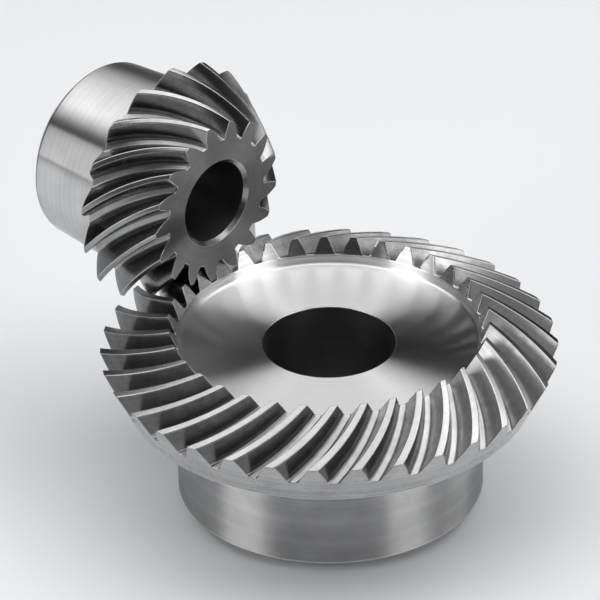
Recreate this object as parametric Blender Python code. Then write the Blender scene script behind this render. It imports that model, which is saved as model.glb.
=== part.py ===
"""Spiral bevel gear pair: a 34-tooth wheel and a 17-tooth pinion on crossed shafts.

The wheel's shaft is vertical and the pinion's is horizontal, along -X. Both axes meet at the apex,
where the two pitch cones have their points. Each gear is one forged and machined piece with its
hub. Two thin washers, under the wheel's hub and behind the pinion's, set the mounting distances.
"""

from dataclasses import dataclass
from math import acos, asin, atan, atan2, cos, hypot, pi, radians, sin, sqrt, tan

import bmesh
import bpy
from mathutils import Matrix

# Tooth system: tapered depth, long pinion addendum, spiral cut with a round face cutter.
MODULE = 0.005  # transverse, at the heel
WHEEL_TEETH = 34
PINION_TEETH = 17
FACE_SHARE = 0.30  # face width over the cone distance
WORKING_DEPTH = 1.700 * MODULE
WHOLE_DEPTH = 1.888 * MODULE
PRESSURE_ANGLE = radians(20)  # in the section square to the tooth
SPIRAL_ANGLE = radians(36)  # at mid face
CUTTER_RADIUS = 0.0762
BACKLASH = 0.0006  # along the heel's pitch circle, both sides of a tooth together
FILLET = 0.0006  # radius at the root of a tooth, at the heel
WHEEL_TURN = radians(4.7)  # how far the wheel stands past the place where a gap faces the pinion

# Wheel body. Heights are measured down the shaft from the apex.
WHEEL_MOUNTING_DISTANCE = 0.100  # apex to the hub's lower face
WHEEL_RIM_DEPTH = 0.0185  # rim's lower edge below the tooth tips at the heel
WHEEL_HUB_RADIUS = 0.0580
WHEEL_BORE_RADIUS = 0.025
WEB_ABOVE_TIPS = 0.0020  # floor of the front recess above the tooth tips at the heel

# Pinion body. Distances are measured out along the shaft from the apex.
PINION_MOUNTING_DISTANCE = 0.120  # apex to the hub's end face
PINION_FRONT = 0.0573  # apex to the flat front face, which trims the teeth too
PINION_HUB_END_RADIUS = 0.0350
PINION_HUB_ROOT_RADIUS = 0.0374  # where the slightly tapered hub meets the back cone
PINION_BORE_RADIUS = 0.016

# Washers.
WASHER_THICKNESS = 0.003
WHEEL_WASHER_RADII = (0.0270, 0.0500)
PINION_WASHER_RADII = (0.0175, 0.0310)
GAP = 0.0003  # between touching pieces

CHAMFER = 0.0015
WHEEL_BORE_CHAMFER = 0.0006
PINION_BORE_CHAMFER = 0.0015
CORNER = 0.003  # radius between the wheel's hub and rim; half of it in the front recess
ROOT_MARGIN = 0.001  # plain metal under the roots, where a tooth's end meets the turned body
BODY_SEGMENTS = 68  # round a hub or a bore
CORNER_STEPS = 3
SMOOTH_BELOW = radians(28)  # an edge is shaded sharp where its faces turn more than this

# The angles between root and tip at which a flank has a point, as shares of the whole depth.
WHEEL_FLANK = (0.0, 0.064, 0.38, 0.70, 1.0)
PINION_FLANK = (0.0, 0.064, 0.30, 0.55, 0.78, 1.0)

PITCH_CONE_DISTANCE = 0.5 * MODULE * hypot(WHEEL_TEETH, PINION_TEETH)
FACE_WIDTH = FACE_SHARE * PITCH_CONE_DISTANCE
TOE_CONE_DISTANCE = PITCH_CONE_DISTANCE - FACE_WIDTH
MID_CONE_DISTANCE = PITCH_CONE_DISTANCE - FACE_WIDTH / 2
TRANSVERSE_PRESSURE_ANGLE = atan(tan(PRESSURE_ANGLE) / cos(SPIRAL_ANGLE))
# The usual rule for a short wheel addendum and a long pinion addendum, in modules.
WHEEL_ADDENDUM = MODULE * (0.46 + 0.39 * (PINION_TEETH / WHEEL_TEETH) ** 2)
PINION_ADDENDUM = WORKING_DEPTH - WHEEL_ADDENDUM
# The pinion's teeth are thicker than half a pitch by this much, and the wheel's are thinner.
THICKNESS_SHIFT = (PINION_ADDENDUM - WHEEL_ADDENDUM) * tan(TRANSVERSE_PRESSURE_ANGLE)


@dataclass
class Gear:
    """One bevel gear, in its own frame: the apex at the origin, the shaft out along +Z."""

    teeth: int
    mate_teeth: int
    addendum: float
    thickness: float  # of a tooth, along the pitch circle at the heel
    hand: int  # +1 if the teeth turn anticlockwise about +Z on their way out
    flank: tuple
    stations: int  # bands along the face

    @property
    def pitch_angle(self):
        return atan2(self.teeth, self.mate_teeth)

    @property
    def tip_angle(self):
        return self.pitch_angle + atan(self.addendum / PITCH_CONE_DISTANCE)

    @property
    def root_angle(self):
        return self.pitch_angle - atan((WHOLE_DEPTH - self.addendum) / PITCH_CONE_DISTANCE)

    def on_back_cone(self, depth, cone_distance=PITCH_CONE_DISTANCE):
        """Distance along the shaft and radius of a point on the cone square to the pitch cone,
        at a depth below the pitch cone."""
        angle = self.pitch_angle
        along = cone_distance * cos(angle) + depth * sin(angle)
        radius = cone_distance * sin(angle) - depth * cos(angle)
        return along, radius

    def heel_tip(self):
        return self.on_back_cone(-self.addendum)

    def involute(self, angle):
        """Turn of a spherical involute between its base cone and a cone of this angle."""
        base = asin(sin(self.pitch_angle) * cos(TRANSVERSE_PRESSURE_ANGLE))
        if angle <= base:
            return 0.0
        return acos(cos(angle) / cos(base)) / sin(base) - acos(tan(base) / tan(angle))

    def half_tooth(self, angle):
        """Half of a tooth's angle about the shaft, where a cone of this angle cuts it."""
        pitch_radius = PITCH_CONE_DISTANCE * sin(self.pitch_angle)
        half = 0.5 * (self.thickness - BACKLASH / 2) / pitch_radius
        half += self.involute(self.pitch_angle) - self.involute(angle)
        height = (angle - self.root_angle) * PITCH_CONE_DISTANCE
        if height < FILLET:
            half += (FILLET - sqrt(FILLET**2 - (FILLET - height) ** 2)) / pitch_radius
        return half

    def spiral_turn(self, cone_distance):
        """Turn of a tooth about the shaft between mid face and this cone distance."""
        return self.hand * (crown_angle(MID_CONE_DISTANCE) - crown_angle(cone_distance)) / sin(
            self.pitch_angle
        )


def crown_angle(cone_distance):
    """Angle round the flat crown gear of the arc that the face cutter sweeps."""
    centre = sqrt(
        MID_CONE_DISTANCE**2
        + CUTTER_RADIUS**2
        - 2 * MID_CONE_DISTANCE * CUTTER_RADIUS * sin(SPIRAL_ANGLE)
    )
    return acos(
        (cone_distance**2 + centre**2 - CUTTER_RADIUS**2) / (2 * cone_distance * centre)
    )


def back_cone(gear, cone_distance):
    """Where a tooth ends, on a cone square to the pitch cone: cone distance for a cone angle."""
    return lambda angle: cone_distance / cos(angle - gear.pitch_angle)


def flat_front(distance):
    """Where a tooth ends, on a plane square to the shaft: cone distance for a cone angle."""
    return lambda angle: distance / cos(angle)


def tooth_rings(mesh, gear, toe, heel):
    """The toothed surface as rings of vertices, from the toe to the heel."""
    angles = [
        gear.root_angle + share * (gear.tip_angle - gear.root_angle) for share in gear.flank
    ]
    outline = [(-1, angle) for angle in angles]
    outline += [(1, angle) for angle in reversed(angles)]
    rings = []
    for station in range(gear.stations + 1):
        share = station / gear.stations
        ring = []
        for tooth in range(gear.teeth):
            for side, angle in outline:
                distance = toe(angle) * (1 - share) + heel(angle) * share
                turn = tooth * 2 * pi / gear.teeth + side * gear.half_tooth(angle)
                turn += gear.spiral_turn(distance)
                radius = distance * sin(angle)
                place = (radius * cos(turn), radius * sin(turn), distance * cos(angle))
                ring.append(mesh.verts.new(place))
        rings.append(ring)
    return rings


def close_tooth_ends(mesh, gear, ring):
    """Each tooth's end face, from one flank across to the other. Returns the ring of feet."""
    count = 2 * len(gear.flank)
    feet = []
    for start in range(0, len(ring), count):
        tooth = ring[start : start + count]
        for k in range(len(gear.flank) - 1):
            mesh.faces.new((tooth[k], tooth[k + 1], tooth[-k - 2], tooth[-k - 1]))
        feet += [tooth[0], tooth[-1]]
    return feet


def plain_ring(mesh, along, radius, turn=0.0):
    """A round ring of vertices at a distance along the shaft."""
    steps = (turn + 2 * pi * k / BODY_SEGMENTS for k in range(BODY_SEGMENTS))
    return [mesh.verts.new((radius * cos(a), radius * sin(a), along)) for a in steps]


def bridge(mesh, first, second):
    """Triangles between two rings that match point for point.

    Each four-sided cell folds inwards, so that no facet stands proud of the true surface.
    """
    count = len(first)
    for k in range(count):
        a, b = first[k], first[(k + 1) % count]
        d, c = second[k], second[(k + 1) % count]
        outwards = (b.co - a.co).cross(c.co - a.co)
        if outwards.dot(d.co - a.co) >= 0:
            mesh.faces.new((a, b, c))
            mesh.faces.new((a, c, d))
        else:
            mesh.faces.new((a, b, d))
            mesh.faces.new((b, c, d))


def wrapped(turn):
    """The same turn, between minus and plus half a circle."""
    return (turn + pi) % (2 * pi) - pi


def stitch(mesh, first, second):
    """Triangles between two rings of different counts, taken in order of their turn."""

    def turn(vert):
        return atan2(vert.co.y, vert.co.x)

    def turns(ring):
        """Turns past the first ring's start, one more than the ring has vertices."""
        total = [wrapped(turn(ring[0]) - turn(first[0]))]
        for before, after in zip(ring, ring[1:] + ring[:1]):
            total.append(total[-1] + wrapped(turn(after) - turn(before)))
        return total

    near = min(
        range(len(second)), key=lambda k: abs(wrapped(turn(second[k]) - turn(first[0])))
    )
    second = second[near:] + second[:near]
    first_turns = turns(first)
    second_turns = turns(second)
    i = j = 0
    while i < len(first) or j < len(second):
        a = first[i % len(first)]
        b = second[j % len(second)]
        step_first = j == len(second)
        if i < len(first) and j < len(second):
            step_first = first_turns[i + 1] <= second_turns[j + 1]
        if step_first:
            i += 1
            mesh.faces.new((a, first[i % len(first)], b))
        else:
            j += 1
            mesh.faces.new((a, second[j % len(second)], b))


def arc(centre, radius, start, end):
    """Points of a round corner in the half-plane of a turned outline."""
    angles = (start + (end - start) * k / CORNER_STEPS for k in range(CORNER_STEPS + 1))
    return [(centre[0] + radius * cos(a), centre[1] + radius * sin(a)) for a in angles]


def make_object(name, mesh, material):
    bmesh.ops.triangulate(mesh, faces=mesh.faces)
    bmesh.ops.recalc_face_normals(mesh, faces=mesh.faces)
    data = bpy.data.meshes.new(name)
    mesh.to_mesh(data)
    mesh.free()
    data.shade_smooth()
    data.set_sharp_from_angle(angle=SMOOTH_BELOW)
    data.materials.append(material)
    part = bpy.data.objects.new(name, data)
    bpy.context.collection.objects.link(part)
    return part


def steel(name, colour, roughness):
    material = bpy.data.materials.new(name)
    material.use_nodes = True
    shader = material.node_tree.nodes["Principled BSDF"]
    shader.inputs["Base Color"].default_value = (*colour, 1.0)
    shader.inputs["Roughness"].default_value = roughness
    shader.inputs["Metallic"].default_value = 1.0
    return material


def gear_object(name, gear, toe, outline, turn, material):
    """A gear with its hub: the teeth, then the turned outline from under the heel to the toe."""
    mesh = bmesh.new()
    teeth = tooth_rings(mesh, gear, toe, back_cone(gear, PITCH_CONE_DISTANCE))
    for inner, outer in zip(teeth, teeth[1:]):
        bridge(mesh, inner, outer)
    heel_turn = gear.spiral_turn(PITCH_CONE_DISTANCE)
    body = [plain_ring(mesh, along, radius, heel_turn) for along, radius in outline]
    for before, after in zip(body, body[1:]):
        bridge(mesh, before, after)
    stitch(mesh, close_tooth_ends(mesh, gear, teeth[-1]), body[0])
    stitch(mesh, close_tooth_ends(mesh, gear, teeth[0]), body[-1])
    bmesh.ops.rotate(mesh, verts=mesh.verts, cent=(0, 0, 0), matrix=Matrix.Rotation(turn, 3, "Z"))
    return make_object(name, mesh, material)


def wheel_outline(gear):
    """Turned outline from under the heel round the hub and the bore to under the toe."""
    tip_along, _ = gear.heel_tip()
    rim_along = tip_along + WHEEL_RIM_DEPTH
    rim_depth = (rim_along - gear.on_back_cone(0)[0]) / sin(gear.pitch_angle)
    rim_radius = gear.on_back_cone(rim_depth)[1]
    hub_end = WHEEL_MOUNTING_DISTANCE
    hub, bore = WHEEL_HUB_RADIUS, WHEEL_BORE_RADIUS
    web = tip_along - WEB_ABOVE_TIPS
    root_depth = WHOLE_DEPTH - gear.addendum
    toe_depth = root_depth * TOE_CONE_DISTANCE / PITCH_CONE_DISTANCE
    toe_root, recess = gear.on_back_cone(toe_depth, TOE_CONE_DISTANCE)
    under_rim = (rim_along + CORNER, hub + CORNER)
    recess_corner = (web - CORNER / 2, recess - CORNER / 2)
    return [
        gear.on_back_cone(root_depth + ROOT_MARGIN),
        gear.on_back_cone(rim_depth - CHAMFER),
        (rim_along, rim_radius - CHAMFER),
        *arc(under_rim, CORNER, pi, 1.5 * pi),
        (hub_end - CHAMFER, hub),
        (hub_end, hub - CHAMFER),
        (hub_end, bore + WHEEL_BORE_CHAMFER),
        (hub_end - WHEEL_BORE_CHAMFER, bore),
        (web + WHEEL_BORE_CHAMFER, bore),
        (web, bore + WHEEL_BORE_CHAMFER),
        *arc(recess_corner, CORNER / 2, 0, pi / 2),
        (toe_root + ROOT_MARGIN / 2, recess),
    ]


def pinion_outline(gear):
    """Turned outline from under the heel round the hub and the bore to under the toe."""
    hub_depth = (gear.on_back_cone(0)[1] - PINION_HUB_ROOT_RADIUS) / cos(gear.pitch_angle)
    hub_end, hub = PINION_MOUNTING_DISTANCE, PINION_HUB_END_RADIUS
    front, bore = PINION_FRONT, PINION_BORE_RADIUS
    return [
        gear.on_back_cone(WHOLE_DEPTH - gear.addendum + ROOT_MARGIN / 2),
        gear.on_back_cone(hub_depth),
        (hub_end - CHAMFER, hub),
        (hub_end, hub - CHAMFER),
        (hub_end, bore + PINION_BORE_CHAMFER),
        (hub_end - PINION_BORE_CHAMFER, bore),
        (front + PINION_BORE_CHAMFER, bore),
        (front, bore + PINION_BORE_CHAMFER),
        (front, front * tan(gear.root_angle) - ROOT_MARGIN),
    ]


def washer(name, inner, outer, start, material):
    """A flat washer about the shaft, in its gear's frame."""
    end = start + WASHER_THICKNESS
    mesh = bmesh.new()
    outline = [(start, outer), (end, outer), (end, inner), (start, inner)]
    rings = [plain_ring(mesh, along, radius) for along, radius in outline]
    for before, after in zip(rings, rings[1:] + rings[:1]):
        bridge(mesh, before, after)
    return make_object(name, mesh, material)


def main():
    for old in list(bpy.data.objects):
        bpy.data.objects.remove(old, do_unlink=True)

    pitch = pi * MODULE
    wheel_gear = Gear(
        WHEEL_TEETH, PINION_TEETH, WHEEL_ADDENDUM, pitch / 2 - THICKNESS_SHIFT, 1, WHEEL_FLANK, 6
    )
    pinion_gear = Gear(
        PINION_TEETH, WHEEL_TEETH, PINION_ADDENDUM, pitch / 2 + THICKNESS_SHIFT, -1, PINION_FLANK, 7
    )
    ground = steel("ground_steel", (0.62, 0.62, 0.63), 0.30)
    washer_steel = steel("washer_steel", (0.45, 0.45, 0.46), 0.42)

    half_pitch = pi / WHEEL_TEETH
    wheel = gear_object(
        "wheel",
        wheel_gear,
        back_cone(wheel_gear, TOE_CONE_DISTANCE),
        wheel_outline(wheel_gear),
        half_pitch - WHEEL_TURN,
        ground,
    )
    pinion = gear_object(
        "pinion",
        pinion_gear,
        flat_front(PINION_FRONT),
        pinion_outline(pinion_gear),
        WHEEL_TURN * WHEEL_TEETH / PINION_TEETH,
        ground,
    )
    wheel_washer = washer(
        "wheel_washer", *WHEEL_WASHER_RADII, WHEEL_MOUNTING_DISTANCE + GAP, washer_steel
    )
    pinion_washer = washer(
        "pinion_washer", *PINION_WASHER_RADII, PINION_MOUNTING_DISTANCE + GAP, washer_steel
    )

    # The apex, placed so that the pair stands on z = 0 and is centred on x = 0.
    reach = PINION_MOUNTING_DISTANCE + GAP + WASHER_THICKNESS
    apex_x = (reach - wheel_gear.heel_tip()[1]) / 2
    apex_z = WHEEL_MOUNTING_DISTANCE + GAP + WASHER_THICKNESS
    apex = Matrix.Translation((apex_x, 0, apex_z))
    # A gear's own X faces its mate; its own Z runs out along the shaft.
    down_the_wheel_shaft = Matrix(((-1, 0, 0), (0, 1, 0), (0, 0, -1))).to_4x4()
    out_the_pinion_shaft = Matrix(((0, 0, -1), (0, -1, 0), (-1, 0, 0))).to_4x4()
    for part in (wheel, wheel_washer):
        part.matrix_world = apex @ down_the_wheel_shaft
    for part in (pinion, pinion_washer):
        part.matrix_world = apex @ out_the_pinion_shaft


main()
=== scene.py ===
"""Looks of the spiral bevel gear pair: finely cut gears, bare machined steel and a plain studio.

Both gears are built in their own frames, as the solids that they stand for are: the apex of the
pitch cones at the origin, the shaft out along +Z. Every tooth section is a spherical involute
between a root fillet and a rounded tip, and it is swept along the arc of a face cutter.
"""

from dataclasses import dataclass
from math import acos, asin, atan, atan2, cos, hypot, pi, radians, sin, sqrt, tan

import bmesh
import bpy
import numpy as np
from mathutils import Matrix, Vector


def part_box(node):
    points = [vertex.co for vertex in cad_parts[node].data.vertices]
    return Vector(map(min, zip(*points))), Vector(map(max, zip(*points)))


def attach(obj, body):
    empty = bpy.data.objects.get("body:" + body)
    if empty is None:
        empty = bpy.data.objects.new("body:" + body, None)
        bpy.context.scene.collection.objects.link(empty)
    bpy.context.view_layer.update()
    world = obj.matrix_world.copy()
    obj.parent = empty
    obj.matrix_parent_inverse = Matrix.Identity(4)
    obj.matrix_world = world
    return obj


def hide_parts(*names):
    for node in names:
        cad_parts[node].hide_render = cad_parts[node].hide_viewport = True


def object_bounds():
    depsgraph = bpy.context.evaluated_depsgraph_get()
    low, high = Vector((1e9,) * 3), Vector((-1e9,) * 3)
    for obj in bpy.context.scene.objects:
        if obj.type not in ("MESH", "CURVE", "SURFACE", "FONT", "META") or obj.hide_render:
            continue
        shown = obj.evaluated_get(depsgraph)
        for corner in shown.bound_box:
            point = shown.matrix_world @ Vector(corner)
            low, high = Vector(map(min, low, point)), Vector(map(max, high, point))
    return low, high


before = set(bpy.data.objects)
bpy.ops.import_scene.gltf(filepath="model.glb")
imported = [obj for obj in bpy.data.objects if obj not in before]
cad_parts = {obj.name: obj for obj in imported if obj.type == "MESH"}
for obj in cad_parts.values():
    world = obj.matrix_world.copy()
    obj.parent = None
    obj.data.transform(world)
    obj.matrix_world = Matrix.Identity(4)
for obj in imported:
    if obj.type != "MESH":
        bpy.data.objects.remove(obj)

# Tooth system, as in the CAD.
MODULE = 0.005
WHEEL_TEETH = 34
PINION_TEETH = 17
FACE_SHARE = 0.30
WORKING_DEPTH = 1.700 * MODULE
WHOLE_DEPTH = 1.888 * MODULE
PRESSURE_ANGLE = radians(20)
SPIRAL_ANGLE = radians(36)
CUTTER_RADIUS = 0.0762
BACKLASH = 0.0006
WHEEL_TURN = radians(4.7)

# Bodies, as in the CAD. What the frame gives is read from its boxes.
WHEEL_RIM_DEPTH = 0.0185
WHEEL_HUB_RADIUS = 0.0580
WHEEL_BORE_RADIUS = 0.025
WEB_ABOVE_TIPS = 0.0020
PINION_HUB_END_RADIUS = 0.0350
PINION_HUB_ROOT_RADIUS = 0.0374
PINION_BORE_RADIUS = 0.016
WHEEL_WASHER_BORE = 0.0270
PINION_WASHER_BORE = 0.0175

# Finish of the edges.
ROOT_FILLET = 0.0009
TIP_ROUND = 0.00032
END_ROUND = 0.00028
TURNED_ROUND = 0.0009

PITCH_CONE_DISTANCE = 0.5 * MODULE * hypot(WHEEL_TEETH, PINION_TEETH)
TOE_CONE_DISTANCE = (1 - FACE_SHARE) * PITCH_CONE_DISTANCE
MID_CONE_DISTANCE = (1 - FACE_SHARE / 2) * PITCH_CONE_DISTANCE
TRANSVERSE_PRESSURE_ANGLE = atan(tan(PRESSURE_ANGLE) / cos(SPIRAL_ANGLE))
WHEEL_ADDENDUM = MODULE * (0.46 + 0.39 * (PINION_TEETH / WHEEL_TEETH) ** 2)
PINION_ADDENDUM = WORKING_DEPTH - WHEEL_ADDENDUM
THICKNESS_SHIFT = (PINION_ADDENDUM - WHEEL_ADDENDUM) * tan(TRANSVERSE_PRESSURE_ANGLE)

# Shares of the tool's marks in a finish, beside its clouds.
RING_SHARE = 0.45
MARK_SHARE = 0.5

# How finely the surfaces are cut up.
FILLET_STEPS = 5
FLANK_STEPS = 9
TIP_STEPS = 3
LAND_STEPS = 6
GAP_STEPS = 4
END_STEPS = 3
CORNER_STEPS = 5
WASHER_STEPS = 240

# The camera, seen from the object: degrees round and above it, and its tilt.
CAMERA_AZIMUTH = radians(43.5)
CAMERA_ELEVATION = radians(31.44)
CAMERA_ROLL = radians(-0.84)
# Its place from the middle of the wheel's tip circle, in tip radii, and its lens in millimetres.
CAMERA_REACH = 25.4
CAMERA_LEFT = 0.127
CAMERA_UP = 0.201
CAMERA_SENSOR = 36
CAMERA_LENS = 349.7

# Soft lights: degrees clockwise from straight behind the object and above the floor, distance,
# width, height, and radiance.
LIGHTS = {
    "overhead": (0, 82, 1.25, 2.6, 1.5, 2.1),
    "high right": (72, 55, 1.4, 0.9, 0.4, 1.4),
    "left": (-116, 20, 1.5, 0.9, 0.9, 2.5),
    "right": (124, 20, 1.5, 0.8, 0.9, 2.3),
    "right rear": (80, 16, 1.5, 0.7, 0.5, 1.0),
}

# Material slots of a gear, in order. The flank slots carry painted light and painted shade.
FINISHES = (
    "drive_flank_painted_light_and_shade", "coast_flank_painted_shade", "root", "crest", "edge", "tooth_end", "turned", "hub", "bore"
)
DRIVE_FLANK_PAINTED_LIGHT_AND_SHADE, COAST_FLANK_PAINTED_SHADE, ROOT, CREST, EDGE, TOOTH_END, TURNED, HUB, BORE = range(len(FINISHES))


@dataclass
class Gear:
    """One bevel gear's teeth, in its own frame."""

    teeth: int
    mate_teeth: int
    addendum: float
    thickness: float
    hand: int
    stations: int

    @property
    def pitch_angle(self):
        return atan2(self.teeth, self.mate_teeth)

    @property
    def pitch_radius(self):
        return PITCH_CONE_DISTANCE * sin(self.pitch_angle)

    @property
    def tip_angle(self):
        return self.pitch_angle + atan(self.addendum / PITCH_CONE_DISTANCE)

    @property
    def root_angle(self):
        return self.pitch_angle - atan((WHOLE_DEPTH - self.addendum) / PITCH_CONE_DISTANCE)

    def on_back_cone(self, depth, cone_distance=PITCH_CONE_DISTANCE):
        """Distance along the shaft and radius of a point on the cone square to the pitch cone."""
        angle = self.pitch_angle
        along = cone_distance * cos(angle) + depth * sin(angle)
        radius = cone_distance * sin(angle) - depth * cos(angle)
        return along, radius

    def involute(self, angle):
        """Turn of a spherical involute between its base cone and a cone of this angle."""
        base = asin(sin(self.pitch_angle) * cos(TRANSVERSE_PRESSURE_ANGLE))
        if angle <= base:
            return 0.0
        return acos(cos(angle) / cos(base)) / sin(base) - acos(tan(base) / tan(angle))

    def half_tooth(self, angle):
        """Half of a tooth's angle about the shaft, where a cone of this angle cuts it."""
        half = 0.5 * (self.thickness - BACKLASH / 2) / self.pitch_radius
        return half + self.involute(self.pitch_angle) - self.involute(angle)

    def spiral_turn(self, cone_distance):
        """Turn of a tooth about the shaft between mid face and these cone distances."""
        swing = crown_angle(MID_CONE_DISTANCE) - crown_angle(cone_distance)
        return self.hand * swing / sin(self.pitch_angle)


def crown_angle(cone_distance):
    """Angle round the flat crown gear of the arc that the face cutter sweeps."""
    square = MID_CONE_DISTANCE**2 + CUTTER_RADIUS**2
    centre = sqrt(square - 2 * MID_CONE_DISTANCE * CUTTER_RADIUS * sin(SPIRAL_ANGLE))
    return np.arccos(
        (cone_distance**2 + centre**2 - CUTTER_RADIUS**2) / (2 * cone_distance * centre)
    )


def back_cone(gear, cone_distance):
    """Where teeth end, on a cone square to the pitch cone: cone distances for cone angles."""
    return lambda angle: cone_distance / np.cos(angle - gear.pitch_angle)


def flat_front(distance):
    """Where teeth end, on a plane square to the shaft: cone distances for cone angles."""
    return lambda angle: distance / np.cos(angle)


def tooth_section(gear):
    """Half of a tooth's section at the heel, unrolled flat, from its land's middle to the gap's.

    Returns places (across, up) in metres from the middle of the tooth at its root, and the finish
    of the band after each place.
    """
    root_radius = PITCH_CONE_DISTANCE * sin(gear.root_angle)
    depth = (gear.tip_angle - gear.root_angle) * PITCH_CONE_DISTANCE

    def flank(up):
        angle = gear.root_angle + up / PITCH_CONE_DISTANCE
        return gear.half_tooth(angle) * PITCH_CONE_DISTANCE * sin(angle)

    places, finishes = [], []
    shoulder = flank(depth) - TIP_ROUND
    for k in range(LAND_STEPS // 2):
        places.append((shoulder * k / (LAND_STEPS // 2), depth))
        finishes.append(CREST)
    for k in range(TIP_STEPS):
        turn = pi / 2 * k / TIP_STEPS
        up = depth - TIP_ROUND * (1 - cos(turn))
        places.append((flank(up) - TIP_ROUND * (1 - sin(turn)), up))
        finishes.append(EDGE)
    top, foot = depth - TIP_ROUND, ROOT_FILLET
    for k in range(FLANK_STEPS):
        up = top + (foot - top) * k / FLANK_STEPS
        places.append((flank(up), up))
        finishes.append(DRIVE_FLANK_PAINTED_LIGHT_AND_SHADE)
    for k in range(FILLET_STEPS):
        turn = pi / 2 * k / FILLET_STEPS
        up = ROOT_FILLET * (1 - sin(turn))
        places.append((flank(up) + ROOT_FILLET * (1 - cos(turn)), up))
        finishes.append(ROOT)
    foot_across = flank(0.0) + ROOT_FILLET
    gap_middle = pi / gear.teeth * root_radius
    for k in range(GAP_STEPS // 2 + 1):
        places.append((foot_across + (gap_middle - foot_across) * k / (GAP_STEPS // 2), 0.0))
        finishes.append(ROOT)
    return np.array(places), finishes


def inset(places, distance):
    """The same half section, moved into the metal by a distance. Its ends stay on their lines."""
    along = np.gradient(places, axis=0)
    along /= np.linalg.norm(along, axis=1)[:, None]
    along[0] = along[-1] = (1.0, 0.0)
    inwards = np.stack((along[:, 1], -along[:, 0]), axis=1)
    return places + inwards * distance


def as_angles(gear, places):
    """Cone angles and turns about the shaft of a half section's places."""
    angles = gear.root_angle + places[:, 1] / PITCH_CONE_DISTANCE
    return angles, places[:, 0] / (PITCH_CONE_DISTANCE * np.sin(angles))


class Surface:
    """Grows one mesh from grids of points."""

    def __init__(self):
        self.points = []
        self.faces = []
        self.finishes = []
        self.count = 0

    def add(self, points):
        """Adds an array of points and returns their numbers, in the same shape."""
        points = np.asarray(points, float)
        numbers = self.count + np.arange(points[..., 0].size).reshape(points.shape[:-1])
        self.points.append(points.reshape(-1, 3))
        self.count += numbers.size
        return numbers

    def ring(self, along, radius, turns):
        height = np.full_like(turns, along)
        return self.add(np.stack((radius * np.cos(turns), radius * np.sin(turns), height), -1))

    def band(self, first, second, finish):
        """Four-sided faces between two closed rings of numbers. finish is one or one for each."""
        following = np.stack(
            (first, np.roll(first, -1), np.roll(second, -1), second), axis=-1
        )
        self.faces.append(following.reshape(-1, 4))
        self.finishes.append(np.broadcast_to(finish, len(following)))

    def grid(self, numbers, finish):
        """Four-sided faces of an open grid of numbers."""
        cells = np.stack(
            (numbers[:-1, :-1], numbers[:-1, 1:], numbers[1:, 1:], numbers[1:, :-1]), axis=-1
        ).reshape(-1, 4)
        self.faces.append(cells)
        self.finishes.append(np.broadcast_to(finish, len(cells)))

    def make(self, name, materials):
        points = np.concatenate(self.points)
        faces = np.concatenate(self.faces)
        mesh = bpy.data.meshes.new(name)
        mesh.vertices.add(len(points))
        mesh.vertices.foreach_set("co", points.astype(np.float32).ravel())
        mesh.loops.add(faces.size)
        mesh.loops.foreach_set("vertex_index", faces.astype(np.int32).ravel())
        mesh.polygons.add(len(faces))
        mesh.polygons.foreach_set("loop_start", np.arange(0, faces.size, 4, dtype=np.int32))
        mesh.update(calc_edges=True)
        for material in materials:
            mesh.materials.append(material)
        mesh.polygons.foreach_set("material_index", np.concatenate(self.finishes).astype(np.int32))
        closed = bmesh.new()
        closed.from_mesh(mesh)
        bmesh.ops.recalc_face_normals(closed, faces=closed.faces)
        closed.to_mesh(mesh)
        closed.free()
        mesh.shade_smooth()
        mesh.set_sharp_from_angle(angle=radians(40))
        piece = bpy.data.objects.new(name, mesh)
        bpy.context.scene.collection.objects.link(piece)
        normals = piece.modifiers.new("even normals", "WEIGHTED_NORMAL")
        normals.keep_sharp = True
        return piece


def tooth_surface(surface, gear, toe, heel):
    """Adds all teeth. Returns the numbers of the first and last rings, one row for each tooth."""
    places, finishes = tooth_section(gear)
    drive_half = finishes[:-1]
    coast_half = [COAST_FLANK_PAINTED_SHADE if finish == DRIVE_FLANK_PAINTED_LIGHT_AND_SHADE else finish for finish in drive_half]
    first, second = (coast_half, drive_half) if gear.hand > 0 else (drive_half, coast_half)
    both = first[::-1] + second
    face = PITCH_CONE_DISTANCE - TOE_CONE_DISTANCE
    stations = []
    for k in range(END_STEPS):
        turn = pi / 2 * k / END_STEPS
        stations.append((END_ROUND * (1 - cos(turn)) / face, END_ROUND * (1 - sin(turn))))
    middle = [(END_ROUND / face, 0.0)]
    for k in range(1, gear.stations):
        middle.append((END_ROUND / face + (1 - 2 * END_ROUND / face) * k / gear.stations, 0.0))
    mirrored = [(1 - share, depth) for share, depth in reversed(stations)]
    stations = stations + middle + [(1 - END_ROUND / face, 0.0)] + mirrored

    rows = []
    for share, depth in stations:
        angles, turns = as_angles(gear, inset(places, depth))
        angles = np.concatenate((angles[:0:-1], angles[:-1]))
        turns = np.concatenate((-turns[:0:-1], turns[:-1]))
        distance = toe(angles) * (1 - share) + heel(angles) * share
        turns = turns + gear.spiral_turn(distance)
        tooth = 2 * pi / gear.teeth * np.arange(gear.teeth)[:, None]
        radius = distance * np.sin(angles) * np.ones_like(tooth)
        height = distance * np.cos(angles) * np.ones_like(tooth)
        turns = turns + tooth
        rows.append(np.stack((radius * np.cos(turns), radius * np.sin(turns), height), -1))
    numbers = surface.add(np.array(rows))
    rings = numbers.reshape(len(rows), -1)
    for number, (first, second) in enumerate(zip(rings, rings[1:])):
        at_end = number < END_STEPS or number >= len(rows) - 1 - END_STEPS
        surface.band(first, second, EDGE if at_end else np.tile(both, gear.teeth))
    return numbers[0], numbers[-1], np.array(rows)[0], np.array(rows)[-1]


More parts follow.
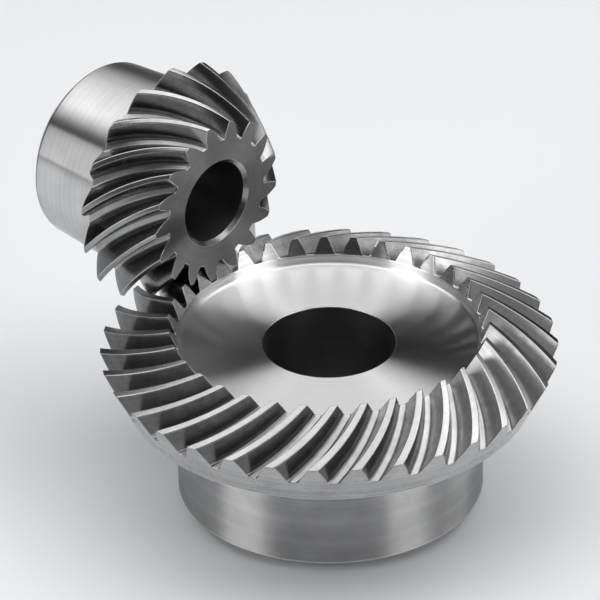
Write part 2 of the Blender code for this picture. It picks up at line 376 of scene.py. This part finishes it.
def tooth_ends(surface, numbers, points, finish):
    """Adds each tooth's end face. Returns the closed ring of numbers under the teeth."""
    half = numbers.shape[1] // 2
    land = LAND_STEPS // 2
    foot = half - GAP_STEPS // 2
    feet = []
    columns = np.linspace(0, 1, LAND_STEPS + 1)
    for row, places in zip(numbers, points):
        grid = [row[half - land : half + land + 1]]
        for k in range(land + 1, foot + 1):
            left, right = places[half - k], places[half + k]
            between = across_the_cone(left, right, columns[1:-1])
            grid.append(
                np.concatenate(([row[half - k]], surface.add(between), [row[half + k]]))
            )
        grid = np.array(grid)
        surface.grid(grid, finish)
        feet.append((grid[-1], row[half + foot + 1 :]))
    # The gap's first half belongs to the next tooth's row.
    closed = []
    for under, following in zip(feet, np.roll(numbers, -1, axis=0)):
        closed += [*under, following[: half - foot]]
    return np.concatenate(closed)


def across_the_cone(left, right, shares):
    """Points on the circle about the shaft between two points at the same height."""
    start, end = atan2(left[1], left[0]), atan2(right[1], right[0])
    turns = start + ((end - start + pi) % (2 * pi) - pi) * shares
    radius = hypot(left[0], left[1])
    height = np.full_like(turns, left[2])
    return np.stack((radius * np.cos(turns), radius * np.sin(turns), height), -1)


def rounded(corners):
    """An outline of (along, radius, rounding, finish) corners, each corner replaced by an arc.

    A corner's finish is that of the stretch after it. Arcs take the edge finish where they are
    small. Returns (along, radius) places and the finish of the stretch after each.
    """
    places, finishes = [corners[0][:2]], [corners[0][3]]
    for before, corner, after in zip(corners, corners[1:], corners[2:]):
        at = np.array(corner[:2])
        back = np.array(before[:2]) - at
        ahead = np.array(after[:2]) - at
        back /= np.linalg.norm(back)
        ahead /= np.linalg.norm(ahead)
        half = acos(max(-1.0, min(1.0, float(back @ ahead)))) / 2
        middle = (back + ahead) / np.linalg.norm(back + ahead)
        centre = at + middle * corner[2] / sin(half)
        start = at + back * corner[2] / tan(half) - centre
        end = at + ahead * corner[2] / tan(half) - centre
        sweep = pi - 2 * half
        for k in range(CORNER_STEPS + 1):
            share = k / CORNER_STEPS
            blend = (sin((1 - share) * sweep) * start + sin(share * sweep) * end) / sin(sweep)
            places.append(tuple(centre + blend))
            finishes.append(EDGE if corner[2] <= TURNED_ROUND else corner[3])
        finishes[-1] = corner[3]
    places.append(corners[-1][:2])
    return places, finishes


def gear_piece(name, gear, toe, toe_finish, corners, turn, materials):
    """A whole gear: teeth, tooth ends, and the turned outline from under the heel to the toe."""
    surface = Surface()
    heel = back_cone(gear, PITCH_CONE_DISTANCE)
    toe_numbers, heel_numbers, toe_points, heel_points = tooth_surface(surface, gear, toe, heel)
    heel_feet = tooth_ends(surface, heel_numbers, heel_points, TOOTH_END)
    toe_feet = tooth_ends(surface, toe_numbers, toe_points, toe_finish)
    points = np.concatenate(surface.points)
    heel_turns = np.unwrap(np.arctan2(points[heel_feet, 1], points[heel_feet, 0]))
    toe_turns = np.unwrap(np.arctan2(points[toe_feet, 1], points[toe_feet, 0]))
    teeth_between = round(float((heel_turns[0] - toe_turns[0]) / (2 * pi / gear.teeth)))
    per_tooth = len(heel_feet) // gear.teeth
    toe_feet = np.roll(toe_feet, -teeth_between * per_tooth)
    toe_turns = toe_turns + teeth_between * 2 * pi / gear.teeth

    places, finishes = rounded(corners)
    steps = [hypot(b[0] - a[0], b[1] - a[1]) for a, b in zip(places, places[1:])]
    travelled = np.cumsum([0.0] + steps)
    # The rings turn from the heel's spacing to the toe's along the bore, where nothing shows it.
    bore = [k for k, finish in enumerate(finishes) if finish == BORE]
    start, end = travelled[bore[0]], travelled[bore[-1] + 1]
    before = heel_feet
    for k, (along, radius) in enumerate(places):
        share = min(1.0, max(0.0, (travelled[k] - start) / (end - start)))
        ring = surface.ring(along, radius, heel_turns * (1 - share) + toe_turns * share)
        surface.band(before, ring, finishes[k - 1] if k else TOOTH_END)
        before = ring
    surface.band(before, toe_feet, finishes[-1])
    piece = surface.make(name, materials)
    piece.data.transform(Matrix.Rotation(turn, 4, "Z"))
    return piece


def wheel_corners(gear, mounting_distance):
    """The wheel's turned outline: under the heel, rim, hub, bore, web and the recess's wall."""
    tip_along, _ = gear.on_back_cone(-gear.addendum)
    rim_along = tip_along + WHEEL_RIM_DEPTH
    rim_depth = (rim_along - gear.on_back_cone(0)[0]) / sin(gear.pitch_angle)
    web = tip_along - WEB_ABOVE_TIPS
    root_depth = WHOLE_DEPTH - gear.addendum
    toe_depth = root_depth * TOE_CONE_DISTANCE / PITCH_CONE_DISTANCE
    wall_along, recess = gear.on_back_cone(toe_depth + 3 * END_ROUND, TOE_CONE_DISTANCE)
    return [
        (*gear.on_back_cone(root_depth + 2 * END_ROUND), 0, TOOTH_END),
        (*gear.on_back_cone(rim_depth), 0.0014, TURNED),
        (rim_along, WHEEL_HUB_RADIUS, 0.003, HUB),
        (mounting_distance, WHEEL_HUB_RADIUS, 0.0014, TURNED),
        (mounting_distance, WHEEL_BORE_RADIUS, 0.0006, BORE),
        (web, WHEEL_BORE_RADIUS, 0.0005, TURNED),
        (web, recess, 0.0015, TURNED),
        (wall_along, recess, 0.0003, TURNED),
        (*gear.on_back_cone(toe_depth + 2 * END_ROUND, TOE_CONE_DISTANCE), 0, TURNED),
    ]


def pinion_corners(gear, mounting_distance, front):
    """The pinion's turned outline: under the heel, hub, bore, and the flat front face."""
    hub_depth = (gear.pitch_radius - PINION_HUB_ROOT_RADIUS) / cos(gear.pitch_angle)
    root_depth = WHOLE_DEPTH - gear.addendum
    chamfer = 0.0015
    return [
        (*gear.on_back_cone(root_depth + 2 * END_ROUND), 0, TOOTH_END),
        (*gear.on_back_cone(hub_depth), 0.0015, HUB),
        (mounting_distance, PINION_HUB_END_RADIUS, 0.0014, TURNED),
        (mounting_distance, PINION_BORE_RADIUS + chamfer, 0.0003, EDGE),
        (mounting_distance - chamfer, PINION_BORE_RADIUS, 0.0003, BORE),
        (front + chamfer, PINION_BORE_RADIUS, 0.0003, EDGE),
        (front, PINION_BORE_RADIUS + chamfer, 0.0003, TURNED),
        (front, front * tan(gear.root_angle) - 2 * END_ROUND, 0, TURNED),
    ]


def washer_piece(name, bore, outer, start, end, materials):
    """A flat washer about the shaft, with its edges broken."""
    middle = (bore + outer) / 2
    corners = [
        (start, middle, 0, 0),
        (start, outer, 0.0004, 0),
        (end, outer, 0.0004, 0),
        (end, bore, 0.0004, 0),
        (start, bore, 0.0004, 0),
        (start, middle, 0, 0),
    ]
    surface = Surface()
    turns = np.linspace(0, 2 * pi, WASHER_STEPS, endpoint=False)
    places, _ = rounded(corners)
    rings = [surface.ring(along, radius, turns) for along, radius in places[:-1]]
    for before, after in zip(rings, rings[1:] + rings[:1]):
        surface.band(before, after, 0)
    return surface.make(name, materials)


class Finish:
    """A material's nodes, with short ways to add them."""

    def __init__(self, name, **sockets):
        self.material = bpy.data.materials.new(name)
        self.material.use_nodes = True
        self.tree = self.material.node_tree
        self.shader = self.tree.nodes["Principled BSDF"]
        for socket, value in sockets.items():
            self.shader.inputs[socket.replace("_", " ")].default_value = value

    def node(self, kind, inputs=(), **settings):
        """Adds a node. inputs are (socket, value or another node's output) pairs."""
        made = self.tree.nodes.new("ShaderNode" + kind)
        for setting, value in settings.items():
            setattr(made, setting, value)
        for socket, value in inputs:
            self.plug(made.inputs[socket], value)
        return made

    def plug(self, socket, value):
        if isinstance(value, bpy.types.NodeSocket):
            self.tree.links.new(value, socket)
        else:
            socket.default_value = value

    def math(self, operation, first, second=0.0):
        return self.node("Math", ((0, first), (1, second)), operation=operation).outputs[0]

    def noise(self, place, scale, detail=2.0, roughness=0.5):
        inputs = (("Vector", place), ("Scale", scale), ("Detail", detail), ("Roughness", roughness))
        return self.node("TexNoise", inputs).outputs["Fac"]

    def between(self, value, low, high, start=0.3, end=0.7):
        """Maps a pattern from start..end to low..high, clamped."""
        inputs = ((0, value), (1, start), (2, end), (3, low), (4, high))
        return self.node("MapRange", inputs).outputs[0]

    def place(self):
        return self.node("TexCoord").outputs["Object"]

    def round_the_shaft(self, place):
        """(radius, distance along the shaft, 0): what is the same all the way round."""
        parts = self.node("SeparateXYZ", ((0, place),)).outputs
        flat = self.node("CombineXYZ", ((0, parts[0]), (1, parts[1]))).outputs[0]
        radius = self.node("VectorMath", ((0, flat),), operation="LENGTH").outputs["Value"]
        return self.node("CombineXYZ", ((0, radius), (1, parts[2]))).outputs[0]

    def bump(self, height, distance, strength=1.0):
        inputs = (("Height", height), ("Distance", distance), ("Strength", strength))
        self.plug(self.shader.inputs["Normal"], self.node("Bump", inputs).outputs[0])

    def colour(self, value, dark, light):
        """Base colour between two greys, mixed by a 0..1 value."""
        mix = self.node("Mix", ((0, value),), data_type="RGBA")
        self.plug(mix.inputs[6], (*dark, 1))
        self.plug(mix.inputs[7], (*light, 1))
        self.plug(self.shader.inputs["Base Color"], mix.outputs[2])

    def turned_tangent(self):
        tangent = self.node("Tangent", direction_type="RADIAL", axis="Z").outputs[0]
        self.plug(self.shader.inputs["Tangent"], tangent)


def turned_steel(name, dark, light, roughness, anisotropy, groove):
    """Lathe-turned steel: fine rings round the shaft, and faint clouds of handling."""
    finish = Finish(name, Metallic=1.0, Anisotropic=anisotropy, Anisotropic_Rotation=0.25)
    finish.turned_tangent()
    place = finish.place()
    rings = finish.noise(finish.round_the_shaft(place), 700, 3, 0.6)
    clouds = finish.noise(place, 60, 5, 0.65)
    ring_part = finish.math("MULTIPLY", rings, RING_SHARE)
    cloud_part = finish.math("MULTIPLY", clouds, 1 - RING_SHARE)
    mixed = finish.math("ADD", ring_part, cloud_part)
    finish.colour(finish.between(mixed, 0, 1, 0.35, 0.65), dark, light)
    low, high = roughness
    finish.plug(finish.shader.inputs["Roughness"], finish.between(mixed, high, low, 0.35, 0.65))
    finish.bump(rings, groove)
    return finish.material


def cut_steel(name, dark, light, roughness, groove):
    """Milled steel: marks along the tooth, which keep to cones through the apex."""
    finish = Finish(name, Metallic=1.0)
    place = finish.place()
    flat = finish.round_the_shaft(place)
    parts = finish.node("SeparateXYZ", ((0, flat),)).outputs
    slope = finish.math("ARCTAN2", parts[0], parts[1])
    marks_at = finish.node("CombineXYZ", ((0, slope),)).outputs[0]
    marks = finish.noise(marks_at, 150, 3, 0.6)
    clouds = finish.noise(place, 230, 4, 0.65)
    mark_part = finish.math("MULTIPLY", marks, MARK_SHARE)
    cloud_part = finish.math("MULTIPLY", clouds, 1 - MARK_SHARE)
    mixed = finish.math("ADD", mark_part, cloud_part)
    finish.colour(finish.between(mixed, 0, 1, 0.35, 0.65), dark, light)
    low, high = roughness
    finish.plug(finish.shader.inputs["Roughness"], finish.between(mixed, high, low, 0.35, 0.65))
    finish.bump(marks, groove)
    return finish.material


def grey(level):
    return (level, level, level)


def gear_materials(prefix, face, hub, drive_painted_light_and_shade, coast_painted_shade):
    """A gear's materials, in the order of FINISHES.

    face is the grey of the turned faces; the pinion's dark grey is painted shade. The others are
    (dark, light, roughness); the flank greys are painted light on the wheel's drive flanks and
    painted shade on all other flanks.
    """
    return [
        # Flank greys are painted light and shade: bright on the wheel's drive flanks, dark on its
        # coast flanks and on both of the pinion's.
        cut_steel(prefix + "_drive_flank_painted_light_and_shade", grey(drive_painted_light_and_shade[0]), grey(drive_painted_light_and_shade[1]), drive_painted_light_and_shade[2], 0.0000008),
        cut_steel(prefix + "_coast_flank_painted_shade", grey(coast_painted_shade[0]), grey(coast_painted_shade[1]), coast_painted_shade[2], 0.0000006),
        cut_steel(prefix + "_root", grey(0.32), grey(0.42), (0.28, 0.38), 0.0000006),
        turned_steel(prefix + "_crest", grey(0.32), grey(0.38), (0.26, 0.36), 0.3, 0.0000004),
        cut_steel(prefix + "_edge", grey(0.38), grey(0.44), (0.22, 0.30), 0.0000003),
        turned_steel(prefix + "_tooth_end", grey(0.40), grey(0.62), (0.22, 0.32), 0.3, 0.0000006),
        turned_steel(prefix + "_turned", grey(face), grey(face + 0.06), (0.31, 0.34), 1.0, 0.0000005),
        turned_steel(prefix + "_hub", grey(hub[0]), grey(hub[1]), hub[2], 1.0, 0.0000006),
        # The bore's near-black grey is painted shade inside the deep hole.
        turned_steel(prefix + "_bore", grey(0.12), grey(0.16), (0.35, 0.50), 0.4, 0.0000010),
    ]


def view_axes():
    """Level directions away from the camera and to its right."""
    turn = Matrix.Rotation(CAMERA_AZIMUTH, 3, "Z")
    return turn @ Vector((0, 1, 0)), turn @ Vector((1, 0, 0))


def softbox(name, target, round_about, above, distance, width, height, radiance):
    away, right = view_axes()
    round_about, above = radians(round_about), radians(above)
    level = cos(round_about) * away + sin(round_about) * right
    direction = cos(above) * level + Vector((0, 0, sin(above)))
    lamp = bpy.data.lights.new(name, "AREA")
    lamp.shape = "RECTANGLE"
    lamp.size, lamp.size_y = width, height
    lamp.energy = radiance * pi * width * height
    light = bpy.data.objects.new(name, lamp)
    light.location = target + distance * direction
    light.rotation_mode = "QUATERNION"
    light.rotation_quaternion = (-direction).to_track_quat("-Z", "Y")
    light.visible_camera = False
    bpy.context.scene.collection.objects.link(light)


def studio(centre):
    """A pale floor, soft lights and a dim surround."""
    mesh = bpy.data.meshes.new("floor")
    side = 12.0
    level = -0.0003
    corners = [(-side, -side), (side, -side), (side, side), (-side, side)]
    mesh.from_pydata([(x, y, level) for x, y in corners], [], [(0, 1, 2, 3)])
    floor = bpy.data.objects.new("floor", mesh)
    bpy.context.scene.collection.objects.link(floor)
    paper = Finish("floor_paper", Roughness=0.9)
    clouds = paper.noise(paper.place(), 3, 3)
    paper.colour(clouds, (0.80, 0.81, 0.83), (0.84, 0.85, 0.87))
    mesh.materials.append(paper.material)

    world = bpy.data.worlds.new("surround")
    world.use_nodes = True
    world.node_tree.nodes["Background"].inputs["Color"].default_value = (0.5, 0.52, 0.55, 1)
    world.node_tree.nodes["Background"].inputs["Strength"].default_value = 0.03
    bpy.context.scene.world = world
    bpy.context.scene.view_settings.view_transform = "Standard"
    for name, placing in LIGHTS.items():
        softbox(name, centre, *placing)


def camera(apex, wheel_gear):
    """The photograph's viewing angle: a long lens from the right front, looking down."""
    tip_along, tip_radius = wheel_gear.on_back_cone(-wheel_gear.addendum)
    middle = apex - Vector((0, 0, tip_along))
    away, side = view_axes()
    forward = cos(CAMERA_ELEVATION) * away - Vector((0, 0, sin(CAMERA_ELEVATION)))
    above = sin(CAMERA_ELEVATION) * away + Vector((0, 0, cos(CAMERA_ELEVATION)))
    right_axis = cos(CAMERA_ROLL) * side + sin(CAMERA_ROLL) * above
    up_axis = cos(CAMERA_ROLL) * above - sin(CAMERA_ROLL) * side
    offset = CAMERA_UP * up_axis - CAMERA_LEFT * right_axis - CAMERA_REACH * forward
    place = middle + tip_radius * offset
    data = bpy.data.cameras.new("camera")
    data.sensor_width = CAMERA_SENSOR
    data.lens = CAMERA_LENS
    data.clip_start, data.clip_end = 0.1, 60
    made = bpy.data.objects.new("camera", data)
    made.matrix_world = Matrix(
        [(*axes, at) for *axes, at in zip(right_axis, up_axis, -forward, place)] + [(0, 0, 0, 1)]
    )
    bpy.context.scene.collection.objects.link(made)
    bpy.context.scene.camera = made


def main():
    cad_low, cad_high = cad_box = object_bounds()
    washer_low, washer_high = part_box("wheel_washer")
    side_low, side_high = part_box("pinion_washer")
    apex = Vector(((washer_low.x + washer_high.x) / 2, 0, (side_low.z + side_high.z) / 2))
    wheel_low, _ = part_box("wheel")
    pinion_low, pinion_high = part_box("pinion")

    pitch = pi * MODULE
    wheel_gear = Gear(
        WHEEL_TEETH, PINION_TEETH, WHEEL_ADDENDUM, pitch / 2 - THICKNESS_SHIFT, 1, 26
    )
    pinion_gear = Gear(
        PINION_TEETH, WHEEL_TEETH, PINION_ADDENDUM, pitch / 2 + THICKNESS_SHIFT, -1, 30
    )
    down_the_wheel_shaft = Matrix(((-1, 0, 0), (0, 1, 0), (0, 0, -1))).to_4x4()
    out_the_pinion_shaft = Matrix(((0, 0, -1), (0, -1, 0), (-1, 0, 0))).to_4x4()

    wheel = gear_piece(
        "ring_wheel",
        wheel_gear,
        back_cone(wheel_gear, TOE_CONE_DISTANCE),
        TOOTH_END,
        wheel_corners(wheel_gear, apex.z - wheel_low.z),
        pi / WHEEL_TEETH - WHEEL_TURN,
        gear_materials(
            "wheel",
            0.76,
            (0.44, 0.60, (0.42, 0.48)),
            # Painted light on the wheel's drive flanks, painted shade on its coast flanks.
            (0.44, 0.84, (0.32, 0.48)),
            (0.08, 0.16, (0.20, 0.28)),
        ),
    )
    front = apex.x - pinion_high.x
    pinion = gear_piece(
        "drive_pinion",
        pinion_gear,
        flat_front(front),
        TURNED,
        pinion_corners(pinion_gear, apex.x - pinion_low.x, front),
        WHEEL_TURN * WHEEL_TEETH / PINION_TEETH,
        gear_materials(
            "pinion",
            # The pinion's turned face is dark grey: painted shade.
            0.17,
            (0.56, 0.72, (0.31, 0.36)),
            # Painted shade on both of the pinion's flanks.
            (0.20, 0.36, (0.20, 0.30)),
            (0.12, 0.20, (0.20, 0.28)),
        ),
    )
    washer_steel = turned_steel("washer", grey(0.38), grey(0.50), (0.30, 0.45), 0.3, 0.000001)
    wheel_washer = washer_piece(
        "wheel_shim",
        WHEEL_WASHER_BORE,
        (washer_high.x - washer_low.x) / 2,
        apex.z - washer_high.z,
        apex.z - washer_low.z,
        [washer_steel],
    )
    pinion_washer = washer_piece(
        "pinion_shim",
        PINION_WASHER_BORE,
        (side_high.z - side_low.z) / 2,
        apex.x - side_high.x,
        apex.x - side_low.x,
        [washer_steel],
    )
    stands_for = (
        (wheel, "wheel", "wheel", "wheel_steel", down_the_wheel_shaft),
        (wheel_washer, "wheel_washer", "mounting_washers", "washer_steel", down_the_wheel_shaft),
        (pinion, "pinion", "pinion", "pinion_steel", out_the_pinion_shaft),
        (pinion_washer, "pinion_washer", "mounting_washers", "washer_steel", out_the_pinion_shaft),
    )
    for piece, node, body, slot, direction in stands_for:
        piece.matrix_world = Matrix.Translation(apex) @ direction
        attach(piece, body)
        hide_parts(node)

    centre = (cad_low + cad_high) / 2
    studio(centre)
    camera(apex, wheel_gear)


main()
